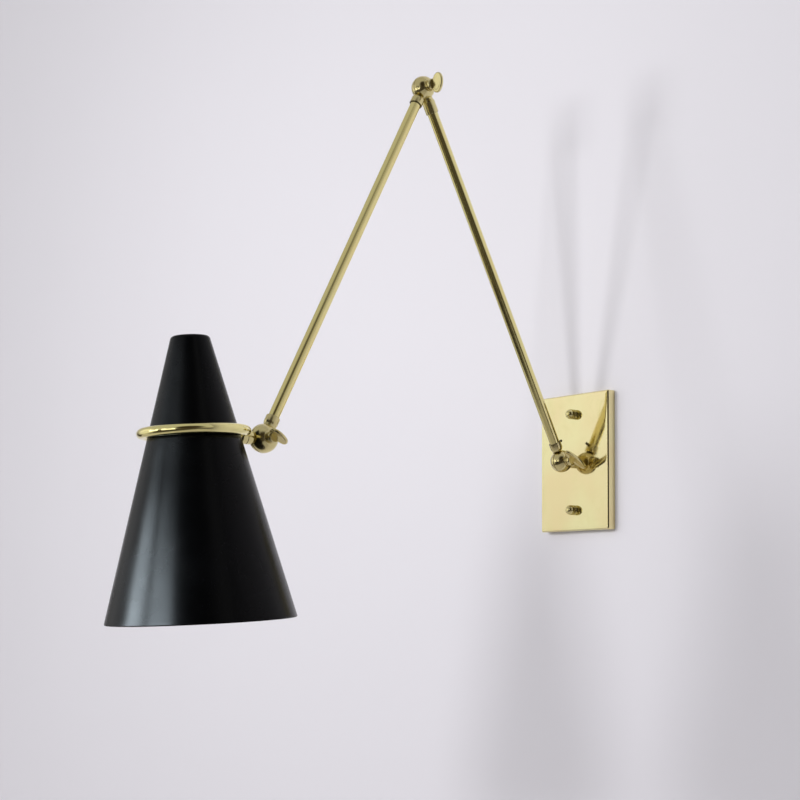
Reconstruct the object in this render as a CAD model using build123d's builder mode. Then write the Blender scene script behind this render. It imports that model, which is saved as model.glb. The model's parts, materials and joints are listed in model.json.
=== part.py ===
"""Accordion wall lamp: brass wall plate, two arms on split-ball swivels, brass ring and black cone shade.

Millimetres. The origin is the centre of the plate's back face, on the wall.
X runs to the right along the wall, Y into the wall and Z up. The lamp reaches out towards -Y.
"""

from build123d import *

import os
from math import cos, radians, sin, tan

os.makedirs("parts", exist_ok=True)

# wall plate
plate_width = 88.0
plate_height = 127.0
plate_thickness = 8.4
plate_front_wall = 3.0
plate_side_wall = 3.2
plate_edge = 1.1
plate_corner = 1.5

# mounting bar behind the plate, and what it carries
bar_thickness = 2.0
bar_width = 18.0
bar_length = 104.0
bar_middle_dia = 25.0
bar_middle_hole = 14.0
stud_spacing = 88.9
stud_dia = 4.0
stud_clearance = 0.25
stud_end_gap = 0.6
wall_hole_spacing = 60.0
wall_hole_dia = 4.5
cap_dia = 9.2
cap_height = 9.0
cap_crown = 3.0
cap_neck_dia = 7.2
cap_flange = 1.6
cap_neck = 1.3
cap_dome_flat = 0.5

# arms
tube_dia = 9.2
tube_wall = 1.0
arm_length = 356.2
lower_lean = 27.76
upper_lean = 26.83
pivot_stand_off = 16.0

# split-ball swivels
ball_dia = 20.5
shade_ball_dia = 23.5
seam_gap = 0.5
collar_wall = 1.0
shade_collar_wall = 1.3
collar_gap = 0.5
collar_lead = 1.9
root_angle = 24.0
collar_length = 7.8
long_collar_length = 12.25
shade_collar_length = 7.35
collar_fit = 0.05
tube_seat = 1.35
washer_shrink = 1.6
screw_dia = 5.0
screw_clearance = 0.15
thread_clearance = 0.02
screw_depth = 6.5
screw_end_gap = 0.3
set_screw_dia = 2.4
set_screw_length = 4.4
set_screw_margin = 1.7
stem_thread_dia = 10.0
stem_bore_clearance = 0.1
lock_nut_flats = 15.0
lock_nut_height = 2.6
lock_washer_dia = 18.0
lock_washer_height = 0.8

# thumb screws
boss_dia = 10.0
boss_groove_dia = 7.6
boss_length = 5.5
boss_flange = 1.6
boss_groove = 1.2
boss_clearance = 0.1
boss_flat = 1.6
paddle_width = 13.2
paddle_length = 17.8
wall_paddle_width = 10.4
wall_paddle_length = 28.0
paddle_thickness = 2.6
paddle_round = 1.0
paddle_sink = 1.1
wall_paddle_lean = 60.0
elbow_paddle_lean = 0.0
shade_paddle_lean = 52.0

# shade
shade_tilt = 3.63
shade_rim_radius = 73.8
shade_top_radius = 14.8
shade_height = 219.2
shade_wall = 1.0
shade_top_round = 2.6
rim_bead = 0.8
shade_hole_clearance = 0.15

# ring round the shade, and its neck
ring_level = 144.8
ring_dia = 8.0
ring_gap = 1.174
ring_stand_off = 20.1
neck_dia = 11.6
neck_bury = 0.6
grub_dia = 2.6
grub_depth = 6.0
grub_inset = 0.25
grub_turn = 14.0
grub_sweep = 100.0
grub_dip = 22.8

# hollow nipple through the ring and the shade's side
nipple_dia = 8.0
nipple_bore = 5.0
nipple_fit = 0.05
nipple_inset = 0.45
nipple_proud = 0.4
wedge_dia = 13.0
wedge_height = 3.2
saddle_start = 0.6
nut_flats = 12.0
nut_height = 3.0

# lampholder and bulb
bracket_width = 12.0
bracket_thickness = 1.5
bracket_rise = 27.0
bracket_straight = 8.2
bracket_shift = 7.0
bracket_bend = 1.0
holder_dia = 27.0
holder_height = 46.0
holder_shoulder_dia = 20.0
holder_shoulder_height = 8.0
holder_bore_dia = 18.0
shell_dia = 16.4
shell_bore = 14.6
shell_depth = 24.0
shell_base = 1.2
shell_inset = 1.0
holder_screw_dia = 4.0
holder_screw_length = 8.0
holder_screw_head_dia = 7.6
holder_screw_head = 2.2
holder_screw_round = 1.2
bulb_cap_dia = 13.8
bulb_cap_length = 19.0
bulb_contact_dia = 6.4
bulb_contact_height = 2.0
bulb_contact_gap = 1.3
bulb_globe_dia = 45.0
bulb_neck_step = 0.4
bulb_neck_length = 12.0
bulb_neck_angle = 49.0
bulb_neck_bite = 1.2
bulb_glass = 1.2

on_end = (Align.CENTER, Align.CENTER, Align.MIN)
across = Vector(1, 0, 0)
outward = Vector(0, -1, 0)
inward = Vector(0, 1, 0)
down = Vector(0, 0, -1)


def leaning(angle):
    """Unit direction in the lamp's plane, leaning out from straight up by the angle."""
    return Vector(0, -sin(radians(angle)), cos(radians(angle)))


def save(part, name):
    """Labels a finished piece and writes its STEP file."""
    part.label = name
    export_step(part, f"parts/{name}.step")


plate_front = -plate_thickness
collar_dia = tube_dia + 2 * collar_wall
shade_collar_dia = tube_dia + 2 * shade_collar_wall
cone_slope = (shade_rim_radius - shade_top_radius) / shade_height
side_radius = shade_rim_radius - cone_slope * ring_level
ring_rod_radius = ring_dia / 2
ring_radius = side_radius + ring_gap + ring_rod_radius
shade_reach = ring_stand_off + ring_radius + ring_rod_radius

wall_pivot = Vector(0, plate_front - pivot_stand_off, 0)
lower_up = leaning(lower_lean)
elbow_pivot = wall_pivot + lower_up * arm_length
upper_up = leaning(-upper_lean)
shade_pivot = elbow_pivot - upper_up * arm_length
axis_up = leaning(shade_tilt)
ring_centre = shade_pivot + outward * shade_reach


def rod(start, direction, length, diameter, mode=Mode.ADD):
    """A round bar from a start point along a direction, or a bore where it is subtracted."""
    with Locations(Plane(origin=start, z_dir=direction)):
        Cylinder(diameter / 2, length, align=on_end, mode=mode)


def half_ball(pivot, side, diameter, direction, collar_end, width):
    """One half of a split ball, with the collar that grips its arm or stem.

    The collar starts just off the ball and widens inside a cone from the pivot, so that the other half's
    collar can pass it. Between the pivot and the collar only the half's own side is left.
    """
    collar_start = diameter / 2 + collar_gap
    root_radius = min(collar_start * tan(radians(root_angle)), width / 2)
    with Locations(Plane(origin=pivot, x_dir=across, z_dir=direction)):
        Sphere(diameter / 2)
        Cylinder(root_radius, collar_start, align=on_end)
    seam = Plane(origin=pivot + across * (side * seam_gap / 2), z_dir=across * side)
    split(bisect_by=seam, keep=Keep.TOP)
    with BuildSketch(Plane(origin=pivot, x_dir=across, z_dir=across.cross(direction))) as collar:
        Polygon(
            (0, collar_start),
            (root_radius, collar_start),
            (width / 2, collar_start + collar_lead),
            (width / 2, collar_end),
            (0, collar_end),
            align=None,
        )
    revolve(collar.sketch, Axis(pivot, direction))


def seat_level(diameter):
    """How far from the pivot of a ball its tube's end sits in the collar."""
    return diameter / 2 + collar_gap + collar_lead + tube_seat


def tube_socket(pivot, diameter, direction, collar_end):
    """Bores a collar for its tube."""
    seat = seat_level(diameter)
    bore_dia = tube_dia + 2 * collar_fit
    rod(pivot + direction * seat, direction, collar_end - seat, bore_dia, mode=Mode.SUBTRACT)


def near_bore(pivot, diameter):
    """Bores the near half through for the pivot screw and flattens it where the screw's boss sits."""
    rod(pivot, across, diameter, screw_dia + 2 * screw_clearance, mode=Mode.SUBTRACT)
    rod(pivot + across * (diameter / 2 - boss_flat), across, diameter, diameter, mode=Mode.SUBTRACT)


def far_bore(pivot):
    """The far half's blind threaded hole for the pivot screw."""
    start = pivot - across * (seam_gap / 2 + screw_depth)
    rod(start, across, seam_gap + screw_depth, screw_dia + 2 * thread_clearance, mode=Mode.SUBTRACT)


def friction_washer(pivot, diameter, name):
    """The thin washer that fills the seam between two halves."""
    start = pivot - across * (seam_gap / 2)
    with BuildPart() as washer:
        rod(start, across, seam_gap, diameter - 2 * washer_shrink)
        rod(start, across, seam_gap, screw_dia + 2 * screw_clearance, mode=Mode.SUBTRACT)
    save(washer.part, name)


def thumb_screw(pivot, diameter, lean, width, length, name):
    """A pivot screw with a grooved boss and a flat oval paddle."""
    seat = diameter / 2 - boss_flat + boss_clearance
    grip = seat + boss_length + width / 2 - paddle_sink
    face = leaning(lean + 90)
    screw_start = screw_end_gap - seam_gap / 2 - screw_depth
    outer_start = seat + boss_flange + boss_groove
    paddle_centre = pivot + across * grip - face * (paddle_thickness / 2)
    with BuildPart() as paddle:
        with BuildSketch(Plane(origin=paddle_centre, x_dir=across, z_dir=face)):
            Ellipse(width / 2, length / 2)
        extrude(amount=paddle_thickness)
        fillet(paddle.edges(), radius=paddle_round)
    screw_plane = Plane(origin=pivot, x_dir=leaning(lean), z_dir=across)
    with BuildPart() as screw:
        with Locations(screw_plane.offset(screw_start)):
            Cylinder(screw_dia / 2, seat - screw_start, align=on_end)
        with Locations(screw_plane.offset(seat)):
            Cylinder(boss_dia / 2, boss_flange, align=on_end)
            Cylinder(boss_groove_dia / 2, boss_length, align=on_end)
        with Locations(screw_plane.offset(outer_start)):
            Cylinder(boss_dia / 2, seat + boss_length - outer_start, align=on_end)
        add(paddle.part)
    save(screw.part, name)


def arm_tube(start_pivot, direction, start_ball, end_ball, name):
    """A thin brass tube between the seats of its two collars."""
    start = start_pivot + direction * seat_level(start_ball)
    length = arm_length - seat_level(start_ball) - seat_level(end_ball)
    with BuildPart() as tube:
        rod(start, direction, length, tube_dia)
        rod(start, direction, length, tube_dia - 2 * tube_wall, mode=Mode.SUBTRACT)
    save(tube.part, name)


# wall plate: a shallow brass pan with a chamfered front
with BuildPart() as plate:
    with BuildSketch(Plane.XZ):
        RectangleRounded(plate_width, plate_height, plate_corner)
    extrude(amount=plate_thickness)
    chamfer(plate.faces().sort_by(Axis.Y)[0].edges(), length=plate_edge)
    with BuildSketch(Plane.XZ):
        Rectangle(plate_width - 2 * plate_side_wall, plate_height - 2 * plate_side_wall)
    extrude(amount=plate_thickness - plate_front_wall, mode=Mode.SUBTRACT)
    with BuildSketch(Plane.XZ):
        Circle(stem_thread_dia / 2 + stem_bore_clearance)
        with Locations((0, stud_spacing / 2), (0, -stud_spacing / 2)):
            Circle(stud_dia / 2 + stud_clearance)
    extrude(amount=plate_thickness, mode=Mode.SUBTRACT)
save(plate.part, "wall_plate")

# mounting bar: a flat steel strap on the wall, open in the middle for the stem's end and the wires
with BuildPart() as bar:
    with BuildSketch(Plane.XZ):
        SlotOverall(bar_length, bar_width, rotation=90)
        Circle(bar_middle_dia / 2)
        Circle(bar_middle_hole / 2, mode=Mode.SUBTRACT)
        with Locations((0, wall_hole_spacing / 2), (0, -wall_hole_spacing / 2)):
            Circle(wall_hole_dia / 2, mode=Mode.SUBTRACT)
        with Locations((0, stud_spacing / 2), (0, -stud_spacing / 2)):
            Circle(stud_dia / 2 + thread_clearance, mode=Mode.SUBTRACT)
    extrude(amount=bar_thickness)
save(bar.part, "mounting_bar")

# two studs, from the bar through the plate
stud_reach = plate_thickness + cap_height - cap_crown
with BuildPart() as studs:
    with BuildSketch(Plane.XZ):
        with Locations((0, stud_spacing / 2), (0, -stud_spacing / 2)):
            Circle(stud_dia / 2)
    extrude(amount=stud_reach)
save(studs.part, "plate_studs")

# two domed cap nuts with a grooved base
stud_levels = (stud_spacing / 2, -stud_spacing / 2)
nut_places = [Plane(origin=(0, plate_front, z), z_dir=outward) for z in stud_levels]
with BuildPart(*nut_places) as caps:
    Cylinder(cap_dia / 2, cap_flange, align=on_end)
    Cylinder(cap_neck_dia / 2, cap_flange + cap_neck, align=on_end)
    with Locations((0, 0, cap_flange + cap_neck)):
        Cylinder(cap_dia / 2, cap_height - cap_flange - cap_neck, align=on_end)
    outer_rims = caps.edges().filter_by(GeomType.CIRCLE).group_by(Axis.Y)[0]
    fillet(outer_rims, radius=cap_dia / 2 - cap_dome_flat)
    Cylinder(
        stud_dia / 2 + thread_clearance,
        cap_height - cap_crown + stud_end_gap,
        align=on_end,
        mode=Mode.SUBTRACT,
    )
save(caps.part, "cap_nuts")

# wall swivel: the near half stands on the plate, the far half grips the lower arm
collar_end = ball_dia / 2 + collar_gap + collar_length
with BuildPart() as wall_stem:
    half_ball(wall_pivot, 1, ball_dia, inward, pivot_stand_off, collar_dia)
    rod(
        wall_pivot + inward * pivot_stand_off,
        inward,
        plate_front_wall + lock_washer_height + lock_nut_height,
        stem_thread_dia,
    )
    near_bore(wall_pivot, ball_dia)
save(wall_stem.part, "wall_swivel_stem")

set_screw_place = wall_pivot + lower_up * (collar_end - set_screw_margin)
set_screw_way = leaning(lower_lean - 90)
with BuildPart() as wall_arm_half:
    half_ball(wall_pivot, -1, ball_dia, lower_up, collar_end, collar_dia)
    tube_socket(wall_pivot, ball_dia, lower_up, collar_end)
    rod(set_screw_place, set_screw_way, collar_dia, set_screw_dia + 2 * thread_clearance, mode=Mode.SUBTRACT)
    far_bore(wall_pivot)
save(wall_arm_half.part, "wall_swivel_arm_half")
with BuildPart() as set_screw:
    rod(set_screw_place + set_screw_way * (tube_dia / 2), set_screw_way, set_screw_length, set_screw_dia)
save(set_screw.part, "collar_set_screw")
friction_washer(wall_pivot, ball_dia, "wall_swivel_washer")
thumb_screw(
    wall_pivot, ball_dia, wall_paddle_lean, wall_paddle_width, wall_paddle_length, "wall_thumb_screw"
)

# lock washer and nut inside the plate
washer_face = Vector(0, plate_front + plate_front_wall, 0)
stem_bore_dia = stem_thread_dia + 2 * stem_bore_clearance
with BuildPart() as lock_washer:
    rod(washer_face, inward, lock_washer_height, lock_washer_dia)
    rod(washer_face, inward, lock_washer_height, stem_bore_dia, mode=Mode.SUBTRACT)
save(lock_washer.part, "stem_washer")
nut_face = washer_face + inward * lock_washer_height
with BuildPart() as lock_nut:
    with BuildSketch(Plane(origin=nut_face, x_dir=across, z_dir=inward)):
        RegularPolygon(lock_nut_flats / 2, 6, major_radius=False)
        Circle(stem_thread_dia / 2 + thread_clearance, mode=Mode.SUBTRACT)
    extrude(amount=lock_nut_height)
save(lock_nut.part, "stem_lock_nut")

# the two arms
arm_tube(wall_pivot, lower_up, ball_dia, ball_dia, "lower_arm_tube")
arm_tube(shade_pivot, upper_up, shade_ball_dia, ball_dia, "upper_arm_tube")

# elbow swivel: the near half closes the lower arm, the far half starts the upper arm
long_collar_end = ball_dia / 2 + collar_gap + long_collar_length
with BuildPart() as elbow_lower:
    half_ball(elbow_pivot, 1, ball_dia, -lower_up, long_collar_end, collar_dia)
    tube_socket(elbow_pivot, ball_dia, -lower_up, long_collar_end)
    near_bore(elbow_pivot, ball_dia)
save(elbow_lower.part, "elbow_lower_half")
with BuildPart() as elbow_upper:
    half_ball(elbow_pivot, -1, ball_dia, -upper_up, collar_end, collar_dia)
    tube_socket(elbow_pivot, ball_dia, -upper_up, collar_end)
    far_bore(elbow_pivot)
save(elbow_upper.part, "elbow_upper_half")
friction_washer(elbow_pivot, ball_dia, "elbow_washer")
thumb_screw(elbow_pivot, ball_dia, elbow_paddle_lean, paddle_width, paddle_length, "elbow_thumb_screw")

# shade swivel: the near half closes the upper arm, the far half carries the neck of the ring
shade_collar_end = shade_ball_dia / 2 + collar_gap + shade_collar_length
ring_plane = Plane(origin=ring_centre, x_dir=across, z_dir=axis_up)
nipple_start = shade_ball_dia / 2 + collar_gap + collar_lead + nipple_inset
nut_seat = shade_reach - side_radius + shade_wall + wedge_height
nipple_length = nut_seat + bracket_thickness + nut_height + nipple_proud - nipple_start


def ring_rod(radius, mode=Mode.ADD):
    """The ring's round rod, closed to a circle square to the shade's axis."""
    with Locations(ring_plane):
        Torus(ring_radius, radius, mode=mode)


def nipple_hole(clearance):
    """Bores a piece for the nipple, with a gap all round."""
    rod(
        shade_pivot + outward * nipple_start,
        outward,
        nipple_length + nut_height,
        nipple_dia + 2 * clearance,
        mode=Mode.SUBTRACT,
    )


with BuildPart() as swivel_arm:
    half_ball(shade_pivot, 1, shade_ball_dia, upper_up, shade_collar_end, shade_collar_dia)
    tube_socket(shade_pivot, shade_ball_dia, upper_up, shade_collar_end)
    near_bore(shade_pivot, shade_ball_dia)
save(swivel_arm.part, "shade_swivel_arm_half")
with BuildPart() as swivel_neck:
    half_ball(shade_pivot, -1, shade_ball_dia, outward, ring_stand_off + neck_bury, neck_dia)
    far_bore(shade_pivot)
    nipple_hole(nipple_fit)
    ring_rod(ring_rod_radius, mode=Mode.SUBTRACT)
save(swivel_neck.part, "shade_swivel_neck")
friction_washer(shade_pivot, shade_ball_dia, "shade_swivel_washer")
thumb_screw(shade_pivot, shade_ball_dia, shade_paddle_lean, paddle_width, paddle_length, "shade_thumb_screw")

# hollow nipple from the swivel's neck through the ring and the shade's side
with BuildPart() as nipple:
    rod(shade_pivot + outward * nipple_start, outward, nipple_length, nipple_dia)
    rod(shade_pivot + outward * nipple_start, outward, nipple_length, nipple_bore, mode=Mode.SUBTRACT)
save(nipple.part, "shade_nipple")

# ring, and the small grub screw that locks the nipple in it
grub_spot = ring_centre + Vector(sin(radians(grub_turn)), cos(radians(grub_turn)), 0) * ring_radius
grub_level = Vector(sin(radians(grub_sweep)), cos(radians(grub_sweep)), 0)
grub_way = grub_level * cos(radians(grub_dip)) + down * sin(radians(grub_dip))
with BuildPart() as ring:
    ring_rod(ring_rod_radius)
    nipple_hole(nipple_fit)
    rod(grub_spot, grub_way, grub_depth, grub_dia + 2 * thread_clearance, mode=Mode.SUBTRACT)
save(ring.part, "shade_ring")
with BuildPart() as grub:
    rod(grub_spot, grub_way, grub_depth, grub_dia)
    ring_rod(ring_rod_radius - grub_inset, mode=Mode.INTERSECT)
save(grub.part, "ring_grub_screw")

# shade: a spun cone with a closed, rounded top, a rolled bead at the rim and a hole for the nipple
profile_plane = Plane(origin=ring_centre, x_dir=across, z_dir=across.cross(axis_up))
shade_axis = Axis(ring_centre, axis_up)
rim_level = -ring_level
top_level = shade_height - ring_level


def cone_radius(level, inset):
    """The cone's radius at a level above the ring, less an inset square to its side."""
    return side_radius - cone_slope * level - inset * (1 + cone_slope**2) ** 0.5


with BuildPart() as shade_solid:
    with BuildSketch(profile_plane):
        Polygon(
            (0, rim_level),
            (cone_radius(rim_level, 0), rim_level),
            (cone_radius(top_level, 0), top_level),
            (0, top_level),
            align=None,
        )
    revolve(axis=shade_axis)
    fillet(shade_solid.edges().sort_by(Axis.Z)[-1], radius=shade_top_round)
with BuildPart() as shade_space:
    with BuildSketch(profile_plane):
        Polygon(
            (0, rim_level - 1),
            (cone_radius(rim_level - 1, shade_wall), rim_level - 1),
            (cone_radius(top_level - shade_wall, shade_wall), top_level - shade_wall),
            (0, top_level - shade_wall),
            align=None,
        )
    revolve(axis=shade_axis)
    fillet(shade_space.edges().sort_by(Axis.Z)[-1], radius=shade_top_round - shade_wall)
with BuildPart() as shade:
    add(shade_solid.part)
    add(shade_space.part, mode=Mode.SUBTRACT)
    with BuildSketch(profile_plane):
        with Locations((cone_radius(rim_level + rim_bead, rim_bead), rim_level + rim_bead)):
            Circle(rim_bead)
    revolve(axis=shade_axis)
    nipple_hole(shade_hole_clearance)
save(shade.part, "shade")

# wedges that fill the sloping gaps at the nipple, outside and inside the shade's side
saddle_level = shade_reach - ring_radius + saddle_start
with BuildPart() as saddle:
    rod(shade_pivot + outward * saddle_level, outward, wedge_dia, wedge_dia)
    add(shade_solid.part, mode=Mode.SUBTRACT)
    ring_rod(ring_rod_radius, mode=Mode.SUBTRACT)
    nipple_hole(nipple_fit)
save(saddle.part, "ring_saddle")
with BuildPart() as wedge:
    rod(shade_pivot + outward * saddle_level, outward, nut_seat - saddle_level, wedge_dia)
    add(shade_space.part, mode=Mode.INTERSECT)
    nipple_hole(nipple_fit)
save(wedge.part, "shade_wedge_washer")

# bracket: a bent steel strip from the nipple up and over to the shade's axis
bracket_back = shade_pivot.Y - nut_seat
bracket_fold = bracket_back - bracket_shift
bracket_foot = shade_pivot.Z - bracket_width / 2
bracket_top = shade_pivot.Z + bracket_rise
holder_centre = ring_centre.Y - bracket_rise * sin(radians(shade_tilt))
bracket_tip = holder_centre - bracket_width / 2
holder_top = Vector(0, holder_centre, bracket_top - bracket_thickness)
with BuildPart() as bracket:
    with BuildSketch(Plane(origin=(-bracket_width / 2, 0, 0), x_dir=(0, 1, 0), z_dir=across)):
        Polygon(
            (bracket_back, bracket_foot),
            (bracket_back, shade_pivot.Z + bracket_straight),
            (bracket_fold, bracket_top),
            (bracket_tip, bracket_top),
            (bracket_tip, bracket_top - bracket_thickness),
            (bracket_fold - bracket_thickness, bracket_top - bracket_thickness),
            (bracket_back - bracket_thickness, shade_pivot.Z + bracket_straight - bracket_bend),
            (bracket_back - bracket_thickness, bracket_foot),
            align=None,
        )
    extrude(amount=bracket_width)
    nipple_hole(nipple_fit)
    rod(holder_top, -down, bracket_thickness, holder_screw_dia + 2 * nipple_fit, mode=Mode.SUBTRACT)
save(bracket.part, "lampholder_bracket")
with BuildPart() as nipple_nut:
    with BuildSketch(
        Plane(origin=shade_pivot + outward * (nut_seat + bracket_thickness), x_dir=across, z_dir=outward)
    ):
        RegularPolygon(nut_flats / 2, 6, major_radius=False)
        Circle(nipple_dia / 2 + thread_clearance, mode=Mode.SUBTRACT)
    extrude(amount=nut_height)
save(nipple_nut.part, "nipple_nut")

# lampholder: a black insulating body with a metal screw shell, hanging square under the bracket
shell_top = holder_top + down * (holder_height - shell_depth - shell_inset)
with BuildPart() as holder:
    rod(holder_top, down, holder_shoulder_height, holder_shoulder_dia)
    rod(holder_top + down * holder_shoulder_height, down, holder_height - holder_shoulder_height, holder_dia)
    rod(shell_top, down, shell_depth + shell_inset, holder_bore_dia, mode=Mode.SUBTRACT)
    rod(holder_top, down, holder_screw_length, holder_screw_dia + 2 * thread_clearance, mode=Mode.SUBTRACT)
save(holder.part, "lampholder")
with BuildPart() as shell:
    rod(shell_top, down, shell_base, holder_bore_dia - 2 * thread_clearance)
    rod(shell_top, down, shell_depth - shell_inset, shell_dia)
    rod(shell_top + down * shell_base, down, shell_depth, shell_bore, mode=Mode.SUBTRACT)
save(shell.part, "lampholder_shell")
screw_seat = holder_top - down * bracket_thickness
with BuildPart() as top_screw:
    rod(screw_seat, -down, holder_screw_head, holder_screw_head_dia)
    fillet(top_screw.edges().sort_by(Axis.Z)[-1], radius=holder_screw_round)
    rod(screw_seat, down, holder_screw_length, holder_screw_dia)
save(top_screw.part, "lampholder_screw")

# bulb: a screw cap and a round globe
contact_top = shell_top + down * (shell_base + bulb_contact_gap)
cap_top = contact_top + down * bulb_contact_height
with BuildPart() as bulb_cap:
    rod(contact_top, down, bulb_contact_height, bulb_contact_dia)
    rod(cap_top, down, bulb_cap_length, bulb_cap_dia)
save(bulb_cap.part, "bulb_cap")
globe_top = cap_top + down * bulb_cap_length
globe_radius = bulb_globe_dia / 2
globe_drop = bulb_neck_length + globe_radius * cos(radians(bulb_neck_angle)) - bulb_neck_bite
with BuildPart(Plane(origin=globe_top, x_dir=across, z_dir=down)) as globe:
    Cone(
        bulb_cap_dia / 2 + bulb_neck_step,
        globe_radius * sin(radians(bulb_neck_angle)),
        bulb_neck_length,
        align=on_end,
    )
    with Locations((0, 0, globe_drop)):
        Sphere(globe_radius)
        Sphere(globe_radius - bulb_glass, mode=Mode.SUBTRACT)
save(globe.part, "bulb_globe")
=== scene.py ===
import json
import math

import bmesh
import bpy
from mathutils import Matrix, Vector


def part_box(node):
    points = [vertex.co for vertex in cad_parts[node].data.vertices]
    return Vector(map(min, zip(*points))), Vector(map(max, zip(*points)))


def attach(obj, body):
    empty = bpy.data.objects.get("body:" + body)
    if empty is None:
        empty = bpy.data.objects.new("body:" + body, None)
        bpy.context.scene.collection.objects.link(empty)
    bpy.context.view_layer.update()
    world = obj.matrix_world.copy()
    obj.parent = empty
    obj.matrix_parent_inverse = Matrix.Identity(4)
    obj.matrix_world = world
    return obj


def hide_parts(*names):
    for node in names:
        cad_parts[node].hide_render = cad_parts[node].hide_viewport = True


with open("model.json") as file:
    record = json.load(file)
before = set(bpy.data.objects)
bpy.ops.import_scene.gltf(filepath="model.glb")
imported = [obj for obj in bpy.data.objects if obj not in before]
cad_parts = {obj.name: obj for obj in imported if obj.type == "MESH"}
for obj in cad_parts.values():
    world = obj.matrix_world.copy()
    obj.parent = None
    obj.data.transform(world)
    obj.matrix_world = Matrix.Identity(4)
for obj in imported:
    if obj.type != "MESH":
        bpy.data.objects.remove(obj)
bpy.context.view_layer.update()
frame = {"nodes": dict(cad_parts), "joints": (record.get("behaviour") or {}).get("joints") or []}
scene = bpy.context.scene
scene.view_settings.view_transform = "Standard"
mm = 0.001  # pieces are sized in millimetres; finishes, camera, room and lights in metres
alongWall = Vector((1, 0, 0))
inward = Vector((0, 1, 0))
outward = Vector((0, -1, 0))
down = Vector((0, 0, -1))
joints = {joint["name"]: Vector(joint["pos_m"]) for joint in frame["joints"]}
pivots = {place: joints[place + "_pivot"] for place in ("wall", "elbow", "shade")}
wallPivot, elbowPivot, shadePivot = pivots.values()
lowerUp = (elbowPivot - wallPivot).normalized()
upperDown = (shadePivot - elbowPivot).normalized()
shadeLean = 3.63  # degrees by which the cone's axis leans out from straight up
print("frame loaded,", len(frame["nodes"]), "pieces")


def pick(values, names):
    return [values[name] for name in names.split()]


def addObject(name, data):
    made = bpy.data.objects.new(name, data)
    scene.collection.objects.link(made)
    return made


def leaning(degrees):  # a direction in the lamp's own plane, leaning out from straight up
    return Vector((0, -math.sin(math.radians(degrees)), math.cos(math.radians(degrees))))


# camera at the photograph's viewing angle
cameraValues = dict(
    place=(1.0612, -1.0487, -0.1401),
    turn=51.78,  # degrees to the left of straight at the wall
    rise=4.03, roll=0.36, lens=72.11, sensor=36.0, shiftUp=0.125,
)


def makeCamera(values):
    turn, rise, roll = (math.radians(angle) for angle in pick(values, "turn rise roll"))
    ahead = Vector((-math.sin(turn) * math.cos(rise), math.cos(turn) * math.cos(rise), math.sin(rise)))
    level = Vector((math.cos(turn), math.sin(turn), 0))
    above = level.cross(ahead)
    right = level * math.cos(roll) + above * math.sin(roll)
    up = above * math.cos(roll) - level * math.sin(roll)
    data = bpy.data.cameras.new("photoCamera")
    data.lens = values["lens"]
    data.sensor_width = values["sensor"]
    data.shift_y = values["shiftUp"]
    camera = addObject("photoCamera", data)
    turned = Matrix((right, up, -ahead)).transposed()
    camera.matrix_world = Matrix.Translation(Vector(values["place"])) @ turned.to_4x4()
    scene.camera = camera


makeCamera(cameraValues)
print("camera placed")


# shader building blocks
def setInputs(node, inputs):  # links a socket, sets any other value
    for label, value in inputs.items():
        if isinstance(value, bpy.types.NodeSocket):
            node.id_data.links.new(value, node.inputs[label])
        else:
            node.inputs[label].default_value = value
    return node.outputs


def addNode(tree, kind, inputs):
    return setInputs(tree.nodes.new(kind), inputs)


def shaderGroup(name, inputs, outputs):
    group = bpy.data.node_groups.new(name, "ShaderNodeTree")
    for label, value in inputs.items():
        socket = group.interface.new_socket(label, in_out="INPUT", socket_type="NodeSocketFloat")
        socket.default_value = value
    for label in outputs:
        group.interface.new_socket(label, in_out="OUTPUT", socket_type="NodeSocketFloat")
    return group, group.nodes.new("NodeGroupInput").outputs, group.nodes.new("NodeGroupOutput")


def useGroup(tree, group, inputs):
    node = tree.nodes.new("ShaderNodeGroup")
    node.node_tree = group
    return setInputs(node, inputs)


def noise(coords, scale, detail=2.0, distortion=0.0):
    inputs = {"Vector": coords, "Scale": scale, "Detail": detail, "Distortion": distortion}
    return addNode(coords.id_data, "ShaderNodeTexNoise", inputs)["Fac"]


def ranged(value, low, high, outLow=0.0, outHigh=1.0):
    node = value.id_data.nodes.new("ShaderNodeMapRange")
    node.interpolation_type = "SMOOTHSTEP"
    inputs = {"Value": value, "From Min": low, "From Max": high, "To Min": outLow, "To Max": outHigh}
    return setInputs(node, inputs)["Result"]


def calc(kind, first, second):
    node = first.id_data.nodes.new("ShaderNodeMath")
    node.operation = kind
    return setInputs(node, {0: first, 1: second})[0]


def times(first, second):
    return calc("MULTIPLY", first, second)


def mixed(factor, first, second):
    node = factor.id_data.nodes.new("ShaderNodeMix")
    node.data_type = "RGBA"
    first, second = ((*side, 1.0) if isinstance(side, tuple) else side for side in (first, second))
    return setInputs(node, {0: factor, 6: first, 7: second})[2]


def stretched(coords, scale, turn):
    inputs = {"Vector": coords, "Scale": scale, "Rotation": turn}
    return addNode(coords.id_data, "ShaderNodeMapping", inputs)["Vector"]


def objectCoords(tree):
    return addNode(tree, "ShaderNodeTexCoord", {})["Object"]


def startFinish(name):
    material = bpy.data.materials.new(name)
    material.use_nodes = True
    return material, material.node_tree, material.node_tree.nodes["Principled BSDF"]


def bumped(height, strength, distance=0.0003):
    inputs = {"Height": height, "Strength": strength, "Distance": distance}
    return addNode(height.id_data, "ShaderNodeBump", inputs)["Normal"]


def roughened(mask, values):  # the roughness wanders round its own value
    rough, smoother, rougher = pick(values, "roughness smoother rougher")
    return ranged(mask, 0.3, 0.7, rough - smoother, rough + rougher)


polishValues = dict(
    smearBand=(0.42, 0.74), hairStretch=(1.0, 0.1, 0.1), hairTurn=(0.4, 0.9, 0.2), hairBand=(0.6, 0.74),
    waveScale=38.0, scratchDepth=0.03,
)


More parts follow.
